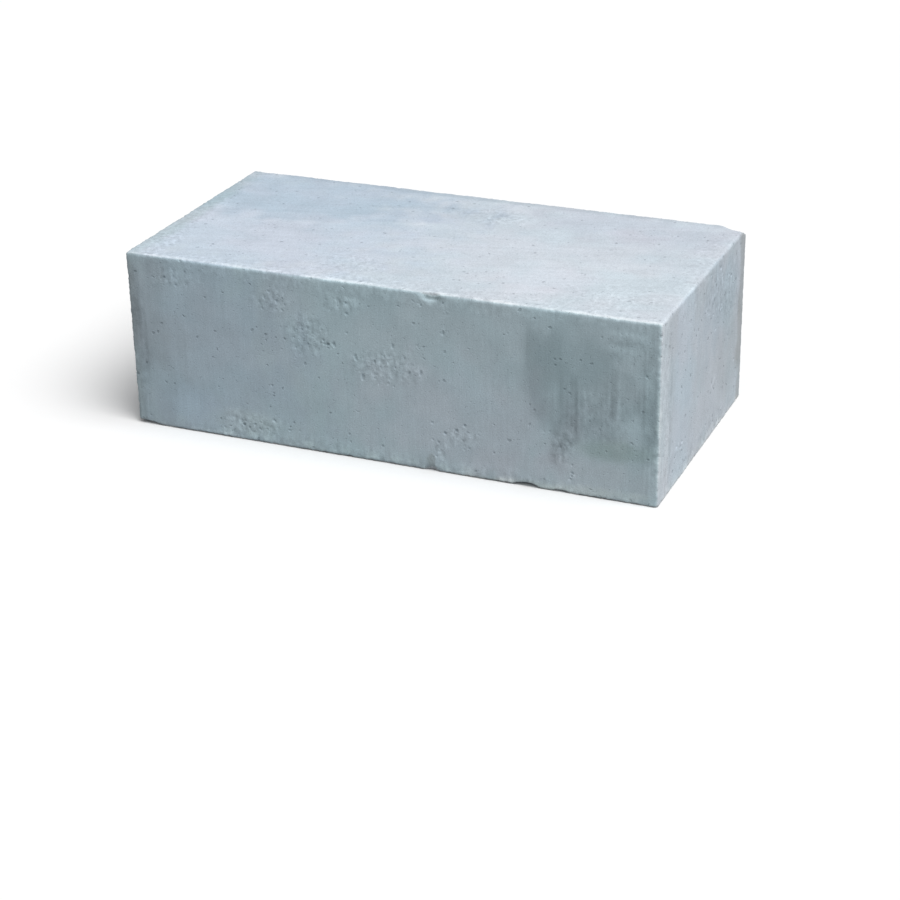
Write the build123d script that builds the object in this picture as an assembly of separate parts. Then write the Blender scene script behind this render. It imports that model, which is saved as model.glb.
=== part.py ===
from build123d import *

import os
from dataclasses import dataclass
from math import sqrt

# Aerated concrete block: one piece of wire-cut, steam-cured aerated concrete, lying on its bed face.
# X runs along its length, Y from its front face to its back face, and Z up from the bed.
# The origin is the middle of the bed face. Sizes are in millimetres.

# Driving dimensions
LENGTH = 600.0
WIDTH = 300.0
HEIGHT = 200.0
ARRIS_RADIUS = 2.5  # the wear that rounds every arris

# Which arris a spall is on, and which end it is measured from
LEFT, RIGHT = -1, 1
FRONT, BACK = -1, 1
BED, TOP = -1, 1


@dataclass
class Spall:
    """A shell-shaped flake that has broken off a long arris. With no inset it is on the block's corner."""

    side: int  # FRONT or BACK
    level: int  # BED or TOP
    end: int  # LEFT or RIGHT, the end that the inset is measured from
    inset: float  # from that end to the middle of the flake
    length: float  # along the arris
    upright: float  # how far it reaches over the upright face
    across: float  # how far it reaches over the top or the bed


SPALLS = [
    Spall(FRONT, TOP, RIGHT, inset=246.0, length=28.0, upright=11.0, across=3.5),
    Spall(BACK, TOP, RIGHT, inset=0.0, length=56.0, upright=8.0, across=14.0),
    Spall(FRONT, BED, RIGHT, inset=142.0, length=36.0, upright=5.0, across=8.0),
    Spall(FRONT, BED, RIGHT, inset=104.0, length=24.0, upright=3.0, across=5.0),
    Spall(FRONT, BED, RIGHT, inset=247.0, length=18.0, upright=6.0, across=4.0),
    Spall(FRONT, BED, LEFT, inset=0.0, length=70.0, upright=5.0, across=7.0),
]


def sound_block():
    """The block as it was cut, with its arrises worn round."""
    block = Pos(Z=HEIGHT / 2) * Box(LENGTH, WIDTH, HEIGHT)
    return fillet(block.edges(), ARRIS_RADIUS)


def scoop(spall):
    """The ball that cuts a spall, through its two ends on the arris and its reach over each face."""
    half = spall.length / 2
    clear_of_side = (half**2 - spall.across**2) / (2 * spall.across)
    clear_of_level = (half**2 - spall.upright**2) / (2 * spall.upright)
    radius = sqrt(half**2 + clear_of_side**2 + clear_of_level**2)
    return Pos(
        spall.end * (LENGTH / 2 - spall.inset),
        spall.side * (WIDTH / 2 + clear_of_side),
        HEIGHT / 2 + spall.level * (HEIGHT / 2 + clear_of_level),
    ) * Sphere(radius)


block = sound_block() - [scoop(spall) for spall in SPALLS]

os.makedirs("parts", exist_ok=True)
export_step(block, "parts/block.step")
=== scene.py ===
import math
from dataclasses import dataclass
from itertools import combinations

import bpy
import numpy as np
from mathutils import Matrix, Vector, bvhtree, kdtree, noise


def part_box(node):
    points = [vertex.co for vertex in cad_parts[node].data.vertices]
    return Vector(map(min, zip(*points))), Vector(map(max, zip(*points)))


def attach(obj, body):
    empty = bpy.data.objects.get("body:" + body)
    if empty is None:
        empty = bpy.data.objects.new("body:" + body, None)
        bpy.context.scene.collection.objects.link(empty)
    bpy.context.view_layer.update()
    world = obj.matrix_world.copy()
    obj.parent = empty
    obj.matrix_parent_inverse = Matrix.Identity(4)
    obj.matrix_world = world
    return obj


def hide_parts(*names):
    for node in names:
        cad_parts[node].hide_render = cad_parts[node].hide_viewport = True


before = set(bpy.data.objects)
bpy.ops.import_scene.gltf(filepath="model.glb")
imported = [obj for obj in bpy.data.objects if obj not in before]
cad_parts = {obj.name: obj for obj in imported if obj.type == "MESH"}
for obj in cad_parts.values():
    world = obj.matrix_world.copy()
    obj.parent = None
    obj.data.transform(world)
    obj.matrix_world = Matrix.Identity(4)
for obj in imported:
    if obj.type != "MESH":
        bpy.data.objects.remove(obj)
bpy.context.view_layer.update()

# The block's surface is worked out in millimetres, in the CAD frame, and made in metres.
MM = 0.001
SEED = 7

# The block's six faces, read from the CAD model
LOW, HIGH = (np.array(corner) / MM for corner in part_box("block"))
LEFT, FRONT, BED = LOW
RIGHT, BACK, TOP = HIGH
X, Y, Z = range(3)
FACES = {  # the two axes that a place on the face is given in, the axis across it, and its level there
    "front": (X, Z, Y, FRONT),
    "back": (X, Z, Y, BACK),
    "left": (Y, Z, X, LEFT),
    "right": (Y, Z, X, RIGHT),
    "top": (X, Y, Z, TOP),
    "bed": (X, Y, Z, BED),
}
ON_FACE = 0.01  # a point nearer to a face than this is on it
SAME_PLACE = 6  # points of two faces that agree to so many decimals are one

# How finely the surface is divided
FIRST_CELL = 20.0
FLAT_CELL = 5.0
CELL_SLACK = 1.01  # lets cells of just the flat size stay whole
ROUGH_CELL = 2.5
ROUGH_SHARE = 0.3  # rougher places than this have rough cells
ARRIS_CELL = 1.8
ARRIS_BAND = 3.0
PIT_CELL = 0.9
ARRIS_GROWTH = 0.6  # how fast cells grow with the distance from an arris
PIT_GROWTH = 1.0  # and from a pit
CORE_DEPTH = 25.0  # points near an arris move in towards a core this far inside the block
RAY_LEAD = 1.0  # how far outside the box the rays start that look for the CAD surface
SPALL_DEPTH = (1.2, 2.6)  # deeper than a sound arris: the surface of a break

# Each octave of noise is twice as fine as the one before, and half as strong
OCTAVE_FALL = 1.0
OCTAVE_STEP = 2.0


@dataclass
class Waves:
    """Uneven amounts over the surface, made of noise."""

    amount: float
    wavelength: float
    octaves: int
    middle: float = 0.5  # the share of the amount where the noise is 0
    swing: float = 1.0  # and the share that the noise adds or takes away

    def at(self, points):
        """The amount at each point."""
        spots = [Vector(spot) for spot in points / self.wavelength]
        noises = np.array([noise.fractal(spot, OCTAVE_FALL, OCTAVE_STEP, self.octaves) for spot in spots])
        return self.amount * (self.middle + self.swing * noises)


# Relief, as depths below the sawn face
CUT_WAVE_DEPTH = 0.3
CUT_WAVE_PITCH = 26.0
CUT_TURN = math.radians(14.0)  # how far the cut runs off the length of the top and the bed
CUT_STRAY = Waves(8.0, 90.0, 1, middle=0.0)  # how far its waves stray from straight lines
SLOW_WAVES = Waves(0.4, 70.0, 2, swing=0.5)
POCKS = Waves(0.4, 6.5, 2)  # where the face is rough
CRUMBLE = Waves(1.3, 5.0, 3, middle=0.3)  # at the arrises
CRUMBLE_REACH = 3.0
FRACTURE = Waves(1.6, 7.0, 4)  # on the breaks
RIM_WOBBLE = 0.6  # how far the rims of pores and bites stray
RIM_WAVELENGTH = 4.0

# The edges of patches, in half sizes from their middle
PATCH_EDGE = (0.45, 1.25)  # where a patch begins to fade, and where it ends
PATCH_REACH = 2.0  # nothing of it shows beyond this
EDGE_WAVES = Waves(1.0, 22.0, 3, middle=0.0)
EDGE_GRAIN = (1.0, 1.0, 0.55)  # draws the ragged edges of patches out up the faces
RAGGED = 0.35  # how far an edge strays
POROUS_RAGGED = 0.6
DAMP_RAGGED = 0.55


@dataclass
class Patch:
    """A soft oval on one face: its middle, its half sizes and its turn in degrees."""

    face: str
    middle: tuple
    half: tuple
    tilt: float = 0.0


@dataclass
class PitField:
    """A rough patch with open pores."""

    patch: Patch
    count: int
    radius: tuple = (1.2, 2.6)
    stretch: float = 1.0  # how much longer the pores are up the face than along it
    strength: float = 1.0  # how strongly the patch is flecked


PIT_FIELDS = [
    PitField(Patch("front", (-243, 177), (28, 15)), 14),
    PitField(Patch("front", (-128, 168), (22, 15)), 12),
    PitField(Patch("front", (-50, 175), (24, 12)), 12),
    PitField(Patch("front", (-84, 136), (34, 22)), 30),
    PitField(Patch("front", (-62, 127), (9, 4)), 4, (1.8, 2.8)),
    PitField(Patch("front", (2, 112), (40, 23)), 40, stretch=1.8),
    PitField(Patch("front", (42, 186), (3, 2)), 2, (2.0, 2.8)),
    PitField(Patch("front", (72, 181), (4, 2)), 2, (1.6, 2.4)),
    PitField(Patch("front", (67, 160), (3, 5)), 3, (1.4, 2.2), 1.6),
    PitField(Patch("front", (40, 139), (3, 3)), 2, (1.4, 2.2)),
    PitField(Patch("front", (208, 20), (4, 4)), 3, (1.8, 2.6)),
    PitField(Patch("front", (-158, 21), (46, 15)), 36),
    PitField(Patch("front", (62, 26), (10, 20)), 8),
    PitField(Patch("front", (88, 46), (20, 16)), 14),
    PitField(Patch("front", (198, 52), (14, 24)), 16, (1.0, 2.2), 1.6),
    PitField(Patch("right", (55, 160), (55, 38)), 34, (1.2, 3.0)),
    PitField(Patch("right", (40, 62), (20, 10)), 8, (1.6, 3.0)),
    PitField(Patch("right", (-80, 37), (16, 10)), 6, (1.6, 3.0)),
    PitField(Patch("top", (40, 84), (38, 16)), 14, (1.2, 2.4)),
    PitField(Patch("top", (-280, -110), (24, 40)), 14, (1.2, 2.4)),
]
PIT_SPREAD = 0.5  # how far pores stray from the middle of their field, in its half sizes
PIT_PROUD = (0.3, 0.7)  # how far the middle of a pore is outside the face, in its radii
PIT_SKEW = 2  # the higher a skew, the fewer are large
STRAY_PITS_PER_SQUARE_METRE = 420
STRAY_PIT_RADIUS = (0.8, 1.8)
STRAY_PIT_PROUD = (0.2, 0.6)
STRAY_PIT_SKEW = 3

# What the faces have that the photograph doesn't show
HIDDEN_FIELDS = {"back": 13, "left": 8, "bed": 4}  # how many porous patches
HIDDEN_FIELD_HALF = (8.0, 32.0)
HIDDEN_FIELD_STRENGTH = (0.4, 1.0)
HIDDEN_PIT_ROOM = 60.0  # the product of a patch's half sizes, for each of its pores
HIDDEN_TILT = 40.0
HIDDEN_STAINS = 6  # on each of these faces
HIDDEN_STAIN_HALF = (25.0, 95.0)
HIDDEN_STAIN_TINT = (0.90, 1.06)
HIDDEN_STAIN_RAGGED = 0.6

# Where the faces are flecked without being porous; the flecks are partly the concrete's own mottling and
# partly painted light on the lips and painted shade of small pores
MOTTLED_STRENGTH = 0.6
MOTTLED = [
    Patch("front", (-291, 100), (12, 130)),
    Patch("front", (291, 100), (11, 130)),
    Patch("front", (196, 66), (18, 34)),
    Patch("front", (236, 92), (42, 44)),
    Patch("front", (268, 172), (30, 30)),
    Patch("front", (0, 8), (330, 9)),
    Patch("front", (0, 191), (330, 9)),
    Patch("right", (-125, 100), (24, 130)),
    Patch("right", (30, 182), (120, 20)),
    Patch("right", (105, 150), (40, 60)),
    Patch("right", (0, 12), (160, 16)),
    Patch("top", (-60, -105), (54, 42)),
    Patch("top", (240, -100), (72, 52)),
    Patch("top", (-285, -20), (20, 160)),
    Patch("top", (286, 30), (18, 120)),
    Patch("top", (30, 95), (54, 32)),
    Patch("top", (0, -138), (330, 16)),
]

# Small bites out of the arrises
CHIPS_PER_METRE = 45
CHIP_RADIUS = (3.0, 11.0)
CHIP_SKEW = 2
CHIP_BITE = (0.4, 1.4)
DEEP_CHIP = 0.25  # how much deeper a few of them bite, in their radii
DEEP_CHIP_SKEW = 4


@dataclass
class Ball:
    """An egg-shaped hollow in the surface."""

    centre: np.ndarray
    radii: np.ndarray


def outward(face):
    """The way that a face looks."""
    _, _, across, level = FACES[face]
    way = np.zeros(3)
    way[across] = 1.0 if level == HIGH[across] else -1.0
    return way


def place(face, u, v):
    """The point of the block's box at a place on one face."""
    along, up, across, level = FACES[face]
    point = np.zeros(3)
    point[[along, up, across]] = u, v, level
    return point


def between(limits, share):
    """The value at a share of the way from the first limit to the second."""
    return limits[0] + (limits[1] - limits[0]) * share


def pit(face, middle, radius, proud, stretch=1.0):
    """One open pore, with its middle a little outside the face."""
    radii = np.full(3, radius)
    radii[FACES[face][1]] *= stretch
    return Ball(place(face, *middle) + outward(face) * radius * proud, radii)


def pits_of(field, rng):
    """The pores of one field, densest at its middle and mostly small."""
    patch = field.patch
    for _ in range(field.count):
        middle = patch.middle + patch.half * rng.normal(0.0, PIT_SPREAD, 2).clip(-1, 1)
        radius = between(field.radius, rng.random() ** PIT_SKEW)
        yield pit(patch.face, middle, radius, rng.uniform(*PIT_PROUD), field.stretch)


def face_limits(face):
    """The low corner of a face and its size, in the face's own two axes."""
    along, up, _, _ = FACES[face]
    corner = LOW[[along, up]]
    return corner, HIGH[[along, up]] - corner


def stray_pits(face, rng):
    """Pores that are spread over a whole face."""
    corner, size = face_limits(face)
    for _ in range(int(size.prod() * MM * MM * STRAY_PITS_PER_SQUARE_METRE)):
        middle = corner + size * rng.random(2)
        radius = between(STRAY_PIT_RADIUS, rng.random() ** STRAY_PIT_SKEW)
        yield pit(face, middle, radius, rng.uniform(*STRAY_PIT_PROUD))


def scattered_patch(face, half_limits, rng):
    """A patch of some size, anywhere on a face."""
    corner, size = face_limits(face)
    half = rng.uniform(*half_limits, 2)
    return Patch(face, corner + size * rng.random(2), half, rng.uniform(-HIDDEN_TILT, HIDDEN_TILT))


def hidden_fields(rng):
    """Porous patches, spread over the faces that the photograph doesn't show."""
    for face, fields in HIDDEN_FIELDS.items():
        for _ in range(fields):
            patch = scattered_patch(face, HIDDEN_FIELD_HALF, rng)
            count = int(patch.half.prod() / HIDDEN_PIT_ROOM)
            yield PitField(patch, count, strength=rng.uniform(*HIDDEN_FIELD_STRENGTH))


PIT_FIELDS += hidden_fields(np.random.default_rng(SEED))


def arrises():
    """The pairs of faces that meet at each of the block's twelve arrises."""
    return [pair for pair in combinations(FACES, 2) if FACES[pair[0]][2] != FACES[pair[1]][2]]


def chips(rng):
    """Small bites out of every arris."""
    for first, second in arrises():
        out = (outward(first) + outward(second)) / math.sqrt(2)
        along = X + Y + Z - FACES[first][2] - FACES[second][2]  # the axis that the arris runs along
        corner = place(first, 0, 0) + place(second, 0, 0)
        length = HIGH[along] - LOW[along]
        for _ in range(int(length * MM * CHIPS_PER_METRE)):
            radius = between(CHIP_RADIUS, rng.random() ** CHIP_SKEW)
            bite = between(CHIP_BITE, rng.random()) + DEEP_CHIP * radius * rng.random() ** DEEP_CHIP_SKEW
            centre = corner + out * (radius - bite)
            centre[along] = LOW[along] + length * rng.random()
            yield Ball(centre, np.full(3, radius))


def box_mesh():
    """Points and right triangles of the block's sharp box. Each triangle's first edge is its longest."""
    points = []
    triangles = []
    count = 0
    for axis in (X, Y, Z):
        u, v = (axis + 1) % 3, (axis + 2) % 3
        steps = [round((HIGH[a] - LOW[a]) / FIRST_CELL) + 1 for a in (u, v)]
        for level in (LOW[axis], HIGH[axis]):
            grid = np.full((*steps, 3), level)
            grid[..., u] = np.linspace(LOW[u], HIGH[u], steps[0])[:, None]
            grid[..., v] = np.linspace(LOW[v], HIGH[v], steps[1])[None, :]
            index = np.arange(count, count + steps[0] * steps[1]).reshape(steps)
            count += index.size
            a, b = index[:-1, :-1].ravel(), index[1:, :-1].ravel()
            c, d = index[1:, 1:].ravel(), index[:-1, 1:].ravel()
            points.append(grid.reshape(-1, 3))
            if level == HIGH[axis]:
                triangles += [np.c_[c, a, b], np.c_[a, c, d]]
            else:
                triangles += [np.c_[a, c, b], np.c_[c, a, d]]
    points, index = np.unique(np.vstack(points).round(SAME_PLACE), axis=0, return_inverse=True)
    return points, index.ravel()[np.vstack(triangles)]


def halves(triangles, middles):
    """Each triangle cut from the middle of its first edge to its last corner."""
    a, b, c = triangles.T
    return np.vstack([np.c_[c, a, middles], np.c_[b, c, middles]])


def bisect(points, triangles, wanted):
    """Halves the wanted triangles across their first edge, and the neighbours that keep the mesh closed."""
    ends = np.sort(triangles[:, [[0, 1], [1, 2], [2, 0]]], axis=2)
    keys, edge_of = np.unique(ends[..., 0] * len(points) + ends[..., 1], return_inverse=True)
    edge_of = edge_of.reshape(-1, 3)
    cut = np.zeros(len(keys), bool)
    cut[edge_of[wanted, 0]] = True
    dragged = wanted
    while dragged.any():
        dragged = cut[edge_of].any(axis=1) & ~cut[edge_of[:, 0]]
        cut[edge_of[dragged, 0]] = True
    middle_of = np.full(len(keys), -1)
    middle_of[cut] = len(points) + np.arange(cut.sum())
    pairs = np.c_[keys[cut] // len(points), keys[cut] % len(points)]
    points = np.vstack([points, points[pairs].mean(axis=1)])
    split = cut[edge_of[:, 0]]
    middles = middle_of[edge_of[split]]
    parts = halves(triangles[split], middles[:, 0])
    part_middles = np.r_[middles[:, 2], middles[:, 1]]
    again = part_middles >= 0
    quarters = halves(parts[again], part_middles[again])
    return points, np.vstack([triangles[~split], parts[~again], quarters])


def tree_of(points):
    """A tree that finds the points near a place."""
    tree = kdtree.KDTree(len(points))
    for index, point in enumerate(points):
        tree.insert(point, index)
    tree.balance()
    return tree


def arris_gap(points):
    """How far each point of the box's surface is from the nearest arris."""
    return np.sort(np.minimum(points - LOW, HIGH - points), axis=1)[:, 1]


def face_gap(points, face):
    """How far each point is from a face."""
    _, _, across, level = FACES[face]
    return abs(points[:, across] - level)


def face_share(points, face):
    """1 where a point of the box lies on that face, and 0 elsewhere."""
    return (face_gap(points, face) < ON_FACE).astype(float)


def smooth_step(low, high, values):
    """0 below low, 1 above high, and a smooth rise between them."""
    t = ((values - low) / (high - low)).clip(0, 1)
    return t * t * (3 - 2 * t)


def patch_share(points, patch, ragged):
    """How strongly a patch shows at each point, from 0 to 1."""
    along, up, _, _ = FACES[patch.face]
    turn = math.radians(patch.tilt)
    du = points[:, along] - patch.middle[0]
    dv = points[:, up] - patch.middle[1]
    u = (du * math.cos(turn) + dv * math.sin(turn)) / patch.half[0]
    v = (dv * math.cos(turn) - du * math.sin(turn)) / patch.half[1]
    edge = np.hypot(u, v)
    share = np.zeros(len(points))
    near = (edge < PATCH_REACH) & (face_share(points, patch.face) > 0)
    edge = edge[near] + ragged * EDGE_WAVES.at(points[near] * EDGE_GRAIN)
    share[near] = 1 - smooth_step(*PATCH_EDGE, edge)
    return share


def rough_share(points):
    """How rough and porous the face is at each point, from 0 to 1."""
    shares = [field.strength * patch_share(points, field.patch, POROUS_RAGGED) for field in PIT_FIELDS]
    return np.max(shares, axis=0)


def cad_tree():
    """The CAD block's surface, in millimetres."""
    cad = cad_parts["block"].data
    corners = [vertex.co / MM for vertex in cad.vertices]
    return bvhtree.BVHTree.FromPolygons(corners, [tuple(face.vertices) for face in cad.polygons])


def to_cad(points, tree):
    """The way in from each point of the box, and how far in the CAD block's surface is."""
    core = points.clip(LOW + CORE_DEPTH, HIGH - CORE_DEPTH)
    inward = core - points
    inward /= np.linalg.norm(inward, axis=1)[:, None]
    hits = [tree.ray_cast(Vector(p - w * RAY_LEAD), Vector(w))[3] for p, w in zip(points, inward)]
    return inward, np.array([RAY_LEAD if hit is None else hit for hit in hits]).clip(RAY_LEAD) - RAY_LEAD


def cell_wanted(points, pits, tree):
    """How large a triangle may be at each point: small at arrises, breaks and pores."""
    gap = arris_gap(points)
    cells = (ARRIS_CELL + ARRIS_GROWTH * (gap - ARRIS_BAND)).clip(ARRIS_CELL, FLAT_CELL)
    cells = np.where(rough_share(points) > ROUGH_SHARE, np.minimum(cells, ROUGH_CELL), cells)
    edge = np.flatnonzero(gap < CORE_DEPTH)
    _, depth = to_cad(points[edge], tree)
    cells[edge[depth > SPALL_DEPTH[0]]] = ARRIS_CELL
    near = tree_of(points)
    for ball in pits:
        radius = ball.radii.max()
        for _, index, distance in near.find_range(ball.centre, radius + FLAT_CELL / PIT_GROWTH):
            cells[index] = min(cells[index], max(PIT_CELL, PIT_GROWTH * (distance - radius)))
    return cells


def fine_mesh(pits, tree):
    """The block's box, divided finely where its surface has detail."""
    points, triangles = box_mesh()
    while True:
        a, b, c = (points[triangles[:, i]] for i in range(3))
        size = np.linalg.norm(b - c, axis=1)
        wanted = size > CELL_SLACK * FLAT_CELL
        small = np.flatnonzero(~wanted & (size > PIT_CELL))
        if not wanted.any():
            wanted[small] = size[small] > cell_wanted(((a + b + c) / 3)[small], pits, tree)
        if not wanted.any():
            return points, triangles
        points, triangles = bisect(points, triangles, wanted)


def carve(points, inward, balls):
    """How far in from each point the balls reach."""
    tree = tree_of(points)
    depth = np.zeros(len(points))
    for ball in balls:
        near = [index for _, index, _ in tree.find_range(ball.centre, ball.radii.max())]
        start = (points[near] - ball.centre) / ball.radii
        way = inward[near] / ball.radii
        a = (way * way).sum(axis=1)
        b = (start * way).sum(axis=1)
        c = (start * start).sum(axis=1) - 1
        reach = np.where(c < 0, (np.sqrt((b * b - a * c).clip(0)) - b) / a, 0)
        depth[near] = np.maximum(depth[near], reach)
    return depth


def relief(points, level, rough, broken):
    """How far the cut, the pocks and the wear go below the CAD surface at each point."""
    across_cut = points[:, Y] * math.cos(CUT_TURN) - points[:, X] * math.sin(CUT_TURN)
    across_cut += CUT_STRAY.at(points)
    cut_waves = CUT_WAVE_DEPTH * (0.5 + 0.5 * np.sin(across_cut * math.tau / CUT_WAVE_PITCH)) * level
    slow_waves = SLOW_WAVES.at(points)
    pocks = POCKS.at(points) * rough
    crumble = CRUMBLE.at(points) * np.exp(-arris_gap(points) / CRUMBLE_REACH)
    fracture = FRACTURE.at(points) * broken
    return sum(depth.clip(0) for depth in (cut_waves, slow_waves, pocks, crumble, fracture))


# Colours, as linear light
FRONT_TINT = (0.482, 0.605, 0.660)
TOP_TINT = (0.560, 0.620, 0.680)
END_TINT = (0.540, 0.605, 0.662)
FACE_TINTS = {
    "front": FRONT_TINT,
    "back": FRONT_TINT,
    "left": END_TINT,
    "right": END_TINT,
    "top": TOP_TINT,
    "bed": TOP_TINT,
}


@dataclass
class StainAndPaintedLight:
    """A soft patch that changes the colour of its face: most are stains, and a few are painted shadow and
    painted light.
    """

    patch: Patch
    tint: tuple
    ragged: float = RAGGED


# Stains, with painted shadow and painted light at the places marked below
STAINS_AND_PAINTED_LIGHT = [
    StainAndPaintedLight(Patch("front", (-230, 100), (150, 150)), (0.94, 0.93, 0.97)),
    StainAndPaintedLight(Patch("front", (-298, 100), (9, 150)), (0.89, 0.88, 0.86), 0.6),
    StainAndPaintedLight(Patch("front", (-300, 100), (62, 190)), (0.875, 0.865, 0.85), 0.5),
    StainAndPaintedLight(Patch("front", (-290, 100), (15, 42)), (0.84, 0.83, 0.83), 0.5),
    StainAndPaintedLight(Patch("front", (-236, 30), (50, 26)), (1.05, 1.05, 1.07)),
    StainAndPaintedLight(Patch("front", (-165, 22), (46, 16)), (1.09, 1.07, 1.03)),
    StainAndPaintedLight(Patch("front", (90, 60), (150, 70)), (1.08, 1.02, 1.035)),
    StainAndPaintedLight(Patch("front", (215, 20), (110, 26)), (1.06, 1.02, 1.02)),
    StainAndPaintedLight(Patch("front", (248, 55), (42, 13), 4), (0.96, 0.99, 0.94)),
    StainAndPaintedLight(Patch("front", (290, 115), (8, 120)), (0.96, 0.96, 0.96)),
    StainAndPaintedLight(Patch("front", (52, 12), (5, 9)), (0.80, 0.79, 0.76)),
    # painted shadow in the chip at the front's top arris
    StainAndPaintedLight(Patch("front", (58, 196), (14, 3)), (0.62, 0.62, 0.61)),
    # a pale lip along the front's foot, partly painted light bounced up from below
    StainAndPaintedLight(Patch("front", (190, 4), (130, 6), 3), (1.18, 1.16, 1.11)),
    StainAndPaintedLight(Patch("top", (-200, 0), (220, 220)), (0.94, 0.955, 0.995)),
    StainAndPaintedLight(Patch("top", (-190, 85), (190, 90), 8), (0.84, 0.89, 0.91)),
    StainAndPaintedLight(Patch("top", (200, -80), (140, 90)), (1.04, 1.04, 1.03)),
    StainAndPaintedLight(Patch("top", (190, 105), (140, 50), -6), (0.95, 0.93, 0.95)),
    StainAndPaintedLight(Patch("top", (0, 85), (44, 52)), (0.93, 0.93, 0.94)),
    StainAndPaintedLight(Patch("top", (-165, 2), (62, 6), 14), (1.07, 1.06, 1.05)),
    StainAndPaintedLight(Patch("top", (-45, 38), (48, 6), 14), (1.08, 1.07, 1.05)),
    StainAndPaintedLight(Patch("top", (155, -75), (60, 50), 10), (1.05, 1.01, 1.02)),
    StainAndPaintedLight(Patch("top", (-294, 0), (16, 170)), (0.86, 0.90, 0.86)),
    StainAndPaintedLight(Patch("top", (0, 146), (340, 9)), (0.86, 0.88, 0.88)),
    StainAndPaintedLight(Patch("right", (146, 110), (16, 170)), (0.82, 0.80, 0.77), 0.8),
    StainAndPaintedLight(Patch("right", (60, 150), (75, 60)), (0.91, 0.95, 0.97)),
    StainAndPaintedLight(Patch("right", (90, 80), (60, 70)), (0.93, 0.93, 0.92)),
    StainAndPaintedLight(Patch("right", (-138, 100), (22, 140)), (1.10, 1.09, 1.08)),
    StainAndPaintedLight(Patch("right", (-114, 110), (4, 90)), (0.93, 0.94, 0.94)),
    StainAndPaintedLight(Patch("right", (-72, 110), (38, 150)), (1.04, 1.06, 1.08)),
    # a pale band along the right end's foot, partly painted light bounced up from below
    StainAndPaintedLight(Patch("right", (0, 4), (170, 8)), (1.10, 1.09, 1.07)),
]

# Pale lumps along the front's foot
LUMP_PLACES = (-190, -158, -138, -90, -45, -15, 12, 32, 66, 92)
LUMP_LEVEL = 7
LUMP_HALF = (9, 4)
LUMP_TINT = (1.18, 1.18, 1.15)
STAINS_AND_PAINTED_LIGHT += [StainAndPaintedLight(Patch("front", (x, LUMP_LEVEL), LUMP_HALF), LUMP_TINT) for x in LUMP_PLACES]


def hidden_stains(rng):
    """Soft stains, spread over the faces that the photograph doesn't show."""
    for face in HIDDEN_FIELDS:
        for _ in range(HIDDEN_STAINS):
            tint = np.full(3, rng.uniform(*HIDDEN_STAIN_TINT))
            yield StainAndPaintedLight(scattered_patch(face, HIDDEN_STAIN_HALF, rng), tint, HIDDEN_STAIN_RAGGED)


STAINS_AND_PAINTED_LIGHT += hidden_stains(np.random.default_rng(SEED))

# How strongly damp has darkened the front face, where it has dried again, and the marks of a comb and a rake
DAMP = [
    (0.58, Patch("front", (224, 122), (96, 80))),
    (0.60, Patch("front", (200, 152), (58, 38))),
    (0.90, Patch("front", (186, 136), (34, 50), 18)),
    (0.72, Patch("front", (230, 140), (30, 40))),
    (0.86, Patch("front", (195, 84), (30, 54))),
    (0.72, Patch("front", (236, 84), (36, 36))),
    (0.70, Patch("front", (288, 96), (8, 50))),
    (0.60, Patch("front", (246, 56), (46, 16), 4)),
]
DRIED_STRENGTH = 0.6
DRIED = [
    Patch("front", (262, 182), (28, 20)),
    Patch("front", (269, 80), (17, 13)),
    Patch("front", (264, 150), (14, 8)),
]
COMBED = [
    Patch("front", (200, 100), (24, 34)),
    Patch("front", (268, 116), (28, 30)),
    Patch("front", (291, 100), (13, 150)),
    Patch("front", (-289, 100), (14, 150)),
]
RAKED = [Patch("front", (262, 177), (20, 15), 8)]

# How far wear and painted light make the two faces at an arris paler, and how strongly; the light is a
# painted highlight along the arrises and painted light bounced up along the foot
WORN_AND_LIT = {
    ("front", "right"): (6.0, 13.0, 0.5),
    ("front", "top"): (1.0, 7.0, 0.75),
    ("right", "top"): (4.0, 4.0, 0.3),
    # at the foot: partly wear, partly painted light bounced up from below
    ("front", "bed"): (6.0, 5.0, 0.85),
    ("right", "bed"): (7.0, 6.0, 0.9),
}
WORN_AND_LIT_ELSEWHERE = (3.5, 3.5, 0.5)
WORN_AND_LIT_WAVES = Waves(1.0, 28.0, 3, middle=0.8, swing=0.5)  # makes the wear uneven
WORN_AND_LIT_MOST = 1.2
BROKEN_STRENGTH = 0.25  # how much paler the breaks are
# Painted shade inside deep pores, from where it begins to where it is darkest
PIT_SHADE_DEPTH = (0.5, 2.8)  # where pores begin to look dark, and where they are darkest


def strongest(points, patches):
    """The strongest share that any of the patches has at each point."""
    return np.max([patch_share(points, patch, RAGGED) for patch in patches], axis=0)


def damp_share(points):
    """How damp the block is at each point, from 0 to 1."""
    wet = np.max([share * patch_share(points, patch, DAMP_RAGGED) for share, patch in DAMP], axis=0)
    return wet * (1 - DRIED_STRENGTH * strongest(points, DRIED))


def worn_and_lit_share(points):
    """How much wear has bared at each point, from 0 to 1, with a painted highlight along the arrises and
    painted light bounced up along the foot.
    """
    share = np.zeros(len(points))
    for first, second in arrises():
        on_first, on_second, strength = WORN_AND_LIT.get((first, second), WORN_AND_LIT_ELSEWHERE)
        gap = np.hypot(face_gap(points, second) / on_first, face_gap(points, first) / on_second)
        share = np.maximum(share, strength * np.exp(-(gap**2)))
    return share * WORN_AND_LIT_WAVES.at(points).clip(0, WORN_AND_LIT_MOST)


def tints(points):
    """The block's broad colour at each point, with its stains and the painted shadow and painted light among
    them.
    """
    tint = np.zeros((len(points), 3))
    share = np.zeros((len(points), 1))
    for face, colour in FACE_TINTS.items():
        on = face_share(points, face)[:, None]
        tint += on * colour
        share += on
    tint /= share
    for tint_patch in STAINS_AND_PAINTED_LIGHT:
        patch_tinted = patch_share(points, tint_patch.patch, tint_patch.ragged)[:, None]
        tint *= 1 + (np.array(tint_patch.tint) - 1) * patch_tinted
    return tint


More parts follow.
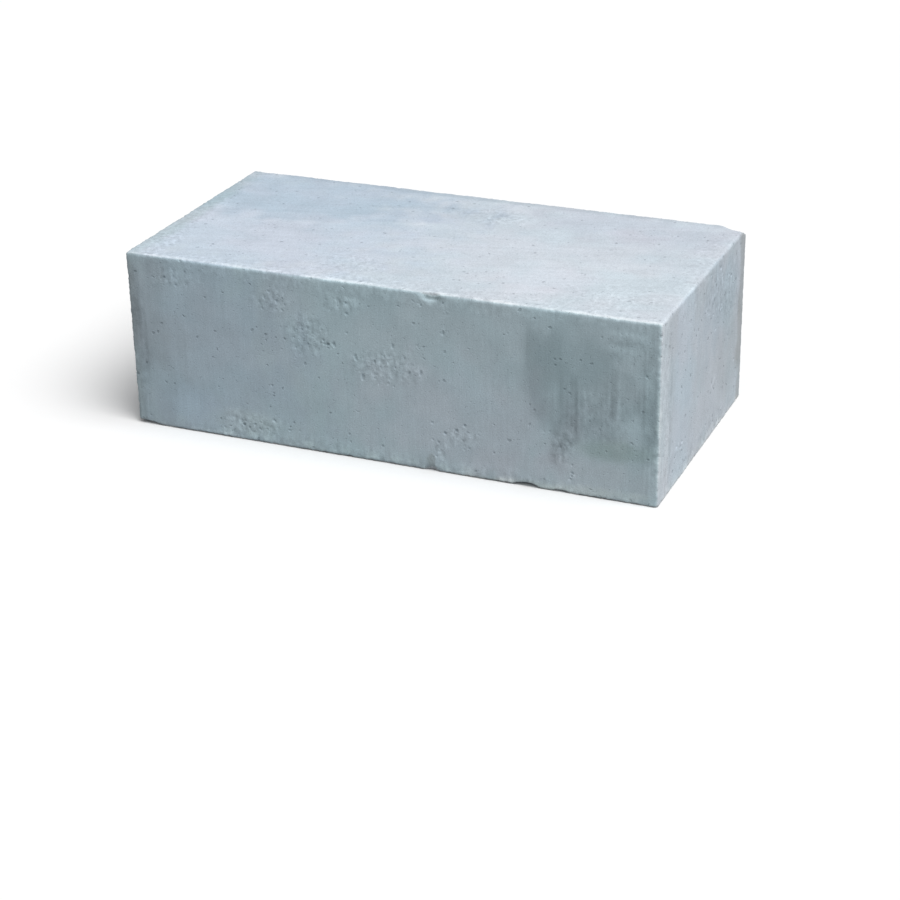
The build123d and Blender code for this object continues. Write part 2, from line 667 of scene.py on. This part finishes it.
@dataclass
class Pattern:
    """Noise in a material, with its wavelength in millimetres."""

    wavelength: float
    detail: float
    pace: tuple = (1, 1, 1)  # how fast it changes along each axis


# The patterns of the concrete
STREAK = Pattern(3.4, 2)
STREAK_UP = (1, 1, 0.05)  # its pace on the upright faces
STREAK_ALONG = (0.03, 0.6, 1)  # and along the cut of the level ones
COMB = Pattern(7.0, 1, (1, 1, 0.03))
RAKE = Pattern(11.0, 1, (0.06, 1, 1))
BLOTCH = Pattern(38.0, 4)
DRIFT = Pattern(90.0, 2, (1, 1.3, 1.1))
FLECK = Pattern(5.5, 2, (1, 1, 0.6))
GRAIN = Pattern(1.4, 3)
OPENNESS = Pattern(16.0, 3)  # where fine pores are many or few
NOISE_ROUGHNESS = 0.6

# Its pores, which are sized in shares of their pitch
FINE_PITCH = 2.2
FINE_CLOSED = (0.3, 0.7, 0.3, 0.9)  # from these levels of noise to these closed shares
COARSE_PITCH = 5.5
COARSE_CLOSED = 0.84
PORE_SIZE = 0.42
PORE_SLOPE = 0.22
SWIRL = Pattern(9.0, 2)  # what moves pores off their grid
SWIRL_REACH = 6.0

# What the patterns do to its colour: from these levels of noise to these shades
DRIFT_RANGE = (0.35, 0.65)
DRIFT_HUES = ((0.980, 1.003, 1.005, 1), (1.020, 0.997, 0.998, 1))
BLOTCH_SHADES = (0.25, 0.75, 0.95, 1.05)
STREAK_SHADES = (0.2, 0.8, 0.97, 1.03)
GRAIN_SHADES = (0.2, 0.8, 0.88, 1.12)
MARK_DEPTH = 0.8  # of the comb and the rake
# Flecks: partly mottling, partly painted light on the lips and painted shade of small pores
FLECK_DEPTH = (0.10, 0.80)  # on plain and on flecked places

# How damp, wear with its painted light, and the painted shade in pores change it
DAMP_BLOTCH = 0.5  # how much the blotches break up the damp
DAMP_RANGE = (0.0, 1.05)
DAMP_TINT = (0.72, 0.735, 0.735, 1)
# Pale wear, with a painted highlight along the arrises and painted light bounced up along the foot
WEAR_AND_LIGHT_FLECK = 0.7  # how much the flecks break up the wear
WEAR_AND_LIGHT_RANGE = (0.2, 0.8)
WEAR_AND_LIGHT_TINT = (1.30, 1.27, 1.23, 1)
# painted shade inside pits and pores
PAINTED_SHADE_TINT = (0.50, 0.52, 0.53, 1)
FINE_PORE_SHADE = 0.35
COARSE_PORE_SHADE = 0.5

# How it shines and how rough it feels
SPECULAR = 0.25
DRY_ROUGHNESS = 0.96
DAMP_ROUGHNESS = 0.86
GRAIN_HEIGHT = 0.5
STREAK_HEIGHT = 0.2
FLECK_HEIGHT = 1.6
FINE_PORE_HEIGHT = -0.5
COARSE_PORE_HEIGHT = -1.0
BUMP_STRENGTH = 0.6
BUMP_DISTANCE = 0.8


class Graph:
    """A node tree, with short ways to add nodes to it."""

    def __init__(self, tree):
        self.nodes = tree.nodes
        self.links = tree.links

    def add(self, kind, inputs, **settings):
        """A node's outputs, from its settings and its inputs: plain values, or other nodes' outputs."""
        made = self.nodes.new(kind)
        for name, value in settings.items():
            setattr(made, name, value)
        for name, value in inputs.items():
            if isinstance(value, bpy.types.NodeSocket):
                self.links.new(value, made.inputs[name])
            else:
                made.inputs[name].default_value = value
        return made.outputs

    def maths(self, operation, first, second):
        """Two values put together by an operation."""
        return self.add("ShaderNodeMath", {0: first, 1: second}, operation=operation)[0]

    def plus(self, first, second):
        """Two values added."""
        return self.maths("ADD", first, second)

    def times(self, first, second):
        """Two values multiplied."""
        return self.maths("MULTIPLY", first, second)

    def ramp(self, value, low, high, to_low=0.0, to_high=1.0):
        """A value brought smoothly from one range to another."""
        inputs = {"Value": value, "From Min": low, "From Max": high, "To Min": to_low, "To Max": to_high}
        return self.add("ShaderNodeMapRange", inputs, interpolation_type="SMOOTHSTEP")["Result"]

    def mix(self, share, first, second, blend="MIX"):
        """Two colours mixed."""
        inputs = {0: share, 6: first, 7: second}
        return self.add("ShaderNodeMix", inputs, data_type="RGBA", blend_type=blend)[2]

    def shade(self, colour, by):
        """A colour multiplied by a value or a colour."""
        return self.mix(1.0, colour, by, "MULTIPLY")

    def swing(self, pattern, depth):
        """A pattern of values about a half, as a swing about 0."""
        return self.times(self.plus(pattern, -0.5), depth)

    def varied(self, colour, pattern, depth):
        """A colour made lighter and darker by a pattern."""
        return self.shade(colour, self.plus(1.0, self.swing(pattern, depth)))

    def attribute(self, name):
        """What the mesh holds at each point, as a value and a colour."""
        return self.add("ShaderNodeAttribute", {}, attribute_name=name)

    def stretched(self, vector, by):
        """A place with each of its axes scaled."""
        return self.add("ShaderNodeVectorMath", {0: vector, 1: by}, operation="MULTIPLY")[0]

    def noise(self, vector, pattern):
        """A pattern of noise, from 0 to 1."""
        inputs = {
            "Vector": self.stretched(vector, pattern.pace),
            "Scale": 1 / pattern.wavelength,
            "Detail": pattern.detail,
            "Roughness": NOISE_ROUGHNESS,
        }
        return self.add("ShaderNodeTexNoise", inputs)["Fac"]

    def swirled(self, vector, pattern, reach):
        """A place that noise has moved about."""
        inputs = {"Vector": vector, "Scale": 1 / pattern.wavelength, "Detail": pattern.detail}
        way = self.add("ShaderNodeTexNoise", inputs)["Color"]
        moved = {0: way, 1: (reach, reach, reach), 2: vector}
        return self.add("ShaderNodeVectorMath", moved, operation="MULTIPLY_ADD")[0]

    def pores(self, vector, pitch, closed):
        """How deep round pores are, from 0 to 1. The closed share of them doesn't show."""
        cells = self.add("ShaderNodeTexVoronoi", {"Vector": vector, "Scale": 1 / pitch})
        chance = self.add("ShaderNodeSeparateColor", {0: cells["Color"]})["Red"]
        size = self.ramp(chance, closed, 1.0, 0.0, PORE_SIZE)
        return self.ramp(self.maths("SUBTRACT", size, cells["Distance"]), 0.0, PORE_SLOPE)


def concrete():
    """Aerated concrete: broad tints with mottling, cut marks, damp and fine pores; flecks that partly paint
    the lit lips and shade of pores, painted shade in pits and pores, and pale wear with a painted highlight
    and painted light at the foot.
    """
    material = bpy.data.materials.new("concrete")
    material.use_nodes = True
    graph = Graph(material.node_tree)
    shader = material.node_tree.nodes["Principled BSDF"]
    shader.inputs["Specular IOR Level"].default_value = SPECULAR

    in_metres = graph.add("ShaderNodeTexCoord", {})["Object"]
    spot = graph.stretched(in_metres, (1 / MM, 1 / MM, 1 / MM))
    turn = {"Vector": spot, "Angle": -CUT_TURN}
    turned = graph.add("ShaderNodeVectorRotate", turn, rotation_type="Z_AXIS")[0]
    ways = graph.stretched(spot, STREAK_UP), graph.stretched(turned, STREAK_ALONG)
    streak = graph.noise(graph.mix(graph.attribute("level")["Fac"], *ways), STREAK)
    blotch = graph.noise(spot, BLOTCH)
    drift = graph.noise(spot, DRIFT)
    fleck = graph.noise(spot, FLECK)
    grain = graph.noise(spot, GRAIN)
    swirled = graph.swirled(spot, SWIRL, SWIRL_REACH)
    closed = graph.ramp(graph.noise(spot, OPENNESS), *FINE_CLOSED)
    fine_pores = graph.pores(swirled, FINE_PITCH, closed)
    coarse_pores = graph.pores(swirled, COARSE_PITCH, COARSE_CLOSED)

    colour = graph.attribute("tint")["Color"]
    colour = graph.shade(colour, graph.mix(graph.ramp(drift, *DRIFT_RANGE), *DRIFT_HUES))
    colour = graph.shade(colour, graph.ramp(blotch, *BLOTCH_SHADES))
    damp = graph.plus(graph.attribute("damp")["Fac"], graph.swing(blotch, DAMP_BLOTCH))
    damp = graph.ramp(damp, *DAMP_RANGE)
    colour = graph.mix(damp, colour, graph.shade(colour, DAMP_TINT))
    colour = graph.shade(colour, graph.ramp(streak, *STREAK_SHADES))
    for name, pattern in (("combed", COMB), ("raked", RAKE)):
        depth = graph.times(graph.attribute(name)["Fac"], MARK_DEPTH)
        colour = graph.varied(colour, graph.noise(spot, pattern), depth)
    # flecks: partly mottling, partly painted light on the lips and painted shade of small pores
    flecked = graph.attribute("flecked")["Fac"]
    colour = graph.varied(colour, fleck, graph.ramp(flecked, 0.0, 1.0, *FLECK_DEPTH))
    colour = graph.shade(colour, graph.ramp(grain, *GRAIN_SHADES))

    # pale wear, with a painted highlight along the arrises and painted light at the foot
    wear = graph.plus(graph.attribute("worn_and_lit")["Fac"], graph.swing(fleck, WEAR_AND_LIGHT_FLECK))
    colour = graph.mix(graph.ramp(wear, *WEAR_AND_LIGHT_RANGE), colour, graph.shade(colour, WEAR_AND_LIGHT_TINT))
    # painted shade inside deep pits and small pores
    dark = graph.shade(colour, PAINTED_SHADE_TINT)
    colour = graph.mix(graph.attribute("pit_shade")["Fac"], colour, dark)
    colour = graph.mix(graph.times(fine_pores, FINE_PORE_SHADE), colour, dark)
    colour = graph.mix(graph.times(coarse_pores, COARSE_PORE_SHADE), colour, dark)
    graph.links.new(colour, shader.inputs["Base Color"])
    roughness = graph.ramp(damp, 0.0, 1.0, DRY_ROUGHNESS, DAMP_ROUGHNESS)
    graph.links.new(roughness, shader.inputs["Roughness"])

    height = graph.plus(graph.times(grain, GRAIN_HEIGHT), graph.times(streak, STREAK_HEIGHT))
    height = graph.plus(height, graph.times(graph.times(fleck, flecked), FLECK_HEIGHT))
    height = graph.plus(height, graph.times(fine_pores, FINE_PORE_HEIGHT))
    height = graph.plus(height, graph.times(coarse_pores, COARSE_PORE_HEIGHT))
    inputs = {"Strength": BUMP_STRENGTH, "Distance": BUMP_DISTANCE * MM, "Height": height}
    graph.links.new(graph.add("ShaderNodeBump", inputs)[0], shader.inputs["Normal"])
    return material


def keep_values(mesh, name, values):
    """A value for each of the mesh's points, which the material reads."""
    layer = mesh.attributes.new(name, "FLOAT", "POINT")
    layer.data.foreach_set("value", np.asarray(values, np.float32).clip(0, 1))


def keep_colours(mesh, name, colours):
    """A colour for each of the mesh's points, which the material reads."""
    layer = mesh.attributes.new(name, "FLOAT_COLOR", "POINT")
    layer.data.foreach_set("color", np.c_[colours, np.ones(len(colours))].astype(np.float32).ravel())


def make_block():
    """The block's fine surface: the CAD block with sawn faces, pores, crumbled arrises and rough breaks."""
    rng = np.random.default_rng(SEED)
    noise.seed_set(SEED)  # or noise_vector takes its offsets from the clock
    pits = [ball for field in PIT_FIELDS for ball in pits_of(field, rng)]
    pits += [ball for face in FACES for ball in stray_pits(face, rng)]
    bites = list(chips(rng))
    tree = cad_tree()
    points, triangles = fine_mesh(pits, tree)
    inward, cad_depth = to_cad(points, tree)

    level = np.maximum(face_share(points, "top"), face_share(points, "bed"))
    rough = rough_share(points)
    broken = smooth_step(*SPALL_DEPTH, cad_depth)
    wobble = np.array([noise.noise_vector(Vector(p)) for p in points / RIM_WAVELENGTH]) * RIM_WOBBLE
    pit_depth = carve(points + wobble, inward, pits)
    chip_depth = carve(points + wobble, inward, bites)
    worn_depth = cad_depth + relief(points, level, rough, broken)
    depth = np.maximum(worn_depth, np.maximum(pit_depth, chip_depth))
    surface = points + inward * depth[:, None]

    mesh = bpy.data.meshes.new("aerated_block")
    mesh.from_pydata((surface * MM).tolist(), [], triangles.tolist())
    mesh.shade_smooth()
    keep_colours(mesh, "tint", tints(points))
    keep_values(mesh, "level", level)
    # where flecks, partly painted light and shade of small pores, are strong
    keep_values(mesh, "flecked", np.maximum(rough, MOTTLED_STRENGTH * strongest(points, MOTTLED)))
    keep_values(mesh, "damp", damp_share(points))
    keep_values(mesh, "combed", strongest(points, COMBED))
    keep_values(mesh, "raked", strongest(points, RAKED))
    # pale wear and breaks, with a painted highlight along the arrises and painted light at the foot
    keep_values(mesh, "worn_and_lit", worn_and_lit_share(points) + BROKEN_STRENGTH * broken)
    # painted shade inside deep pits
    keep_values(mesh, "pit_shade", smooth_step(*PIT_SHADE_DEPTH, pit_depth - cad_depth))
    mesh.materials.append(concrete())
    block = bpy.data.objects.new("aerated_block", mesh)
    bpy.context.scene.collection.objects.link(block)
    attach(block, "root")
    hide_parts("block")


# The stage: a pale floor, one soft lamp and an even sky
FLOOR_SIZE = 40.0
FLOOR_WHITE = 0.93
FLOOR_BOUNCE = 0.35
SKY_LEVEL = 0.30
KEY_LEVEL = 0.93
KEY_WAY = Vector((0.46, -0.20, 0.86))
KEY_SOFTNESS = math.radians(45)


def seen_share(graph):
    """1 for rays that look at the background: from the camera, off a gloss or through glass."""
    path = graph.add("ShaderNodeLightPath", {})
    share = graph.maths("MAXIMUM", path["Is Camera Ray"], path["Is Glossy Ray"])
    return graph.maths("MAXIMUM", share, path["Is Transmission Ray"])


def make_floor():
    """A plain floor that looks white and throws little light back up."""
    half = FLOOR_SIZE / 2
    corners = [(-half, -half, 0), (half, -half, 0), (half, half, 0), (-half, half, 0)]
    mesh = bpy.data.meshes.new("floor")
    mesh.from_pydata(corners, [], [(0, 1, 2, 3)])
    material = bpy.data.materials.new("floor")
    material.use_nodes = True
    graph = Graph(material.node_tree)
    shader = material.node_tree.nodes["Principled BSDF"]
    shader.inputs["Roughness"].default_value = 1.0
    shader.inputs["Specular IOR Level"].default_value = 0.0
    greys = [(level, level, level, 1) for level in (FLOOR_BOUNCE, FLOOR_WHITE)]
    graph.links.new(graph.mix(seen_share(graph), *greys), shader.inputs["Base Color"])
    mesh.materials.append(material)
    floor = bpy.data.objects.new("floor", mesh)
    bpy.context.scene.collection.objects.link(floor)


def make_light():
    """A soft lamp from above, a little to the right and the front, and an even sky that looks white."""
    lamp = bpy.data.lights.new("key", "SUN")
    lamp.energy = KEY_LEVEL * math.pi
    lamp.angle = KEY_SOFTNESS
    key = bpy.data.objects.new("key", lamp)
    key.rotation_mode = "QUATERNION"
    key.rotation_quaternion = KEY_WAY.to_track_quat("Z", "Y")
    bpy.context.scene.collection.objects.link(key)
    world = bpy.data.worlds.new("sky")
    bpy.context.scene.world = world
    world.use_nodes = True
    graph = Graph(world.node_tree)
    background = world.node_tree.nodes["Background"]
    background.inputs["Color"].default_value = (1, 1, 1, 1)
    graph.links.new(graph.ramp(seen_share(graph), 0.0, 1.0, SKY_LEVEL, 1.0), background.inputs["Strength"])


# The camera, fitted to the edges of the block in the photograph
IMAGE_SIZE = 900
FOCAL_PIXELS = 2146.9
CAMERA_PLACE = Vector((0.8701, -2.0061, 0.9787))
CAMERA_FORWARD = Vector((-0.3568, 0.8314, -0.4259))
CAMERA_RIGHT = Vector((0.9220, 0.3868, -0.0173))


def make_camera():
    """The photograph's viewpoint."""
    lens = bpy.data.cameras.new("camera")
    lens.lens = lens.sensor_width * FOCAL_PIXELS / IMAGE_SIZE
    camera = bpy.data.objects.new("camera", lens)
    back = -CAMERA_FORWARD.normalized()
    up = back.cross(CAMERA_RIGHT).normalized()
    turn = Matrix((up.cross(back), up, back)).transposed()
    camera.matrix_world = Matrix.Translation(CAMERA_PLACE) @ turn.to_4x4()
    bpy.context.scene.collection.objects.link(camera)
    bpy.context.scene.camera = camera


make_block()
make_floor()
make_light()
make_camera()
bpy.context.scene.view_settings.view_transform = "Standard"
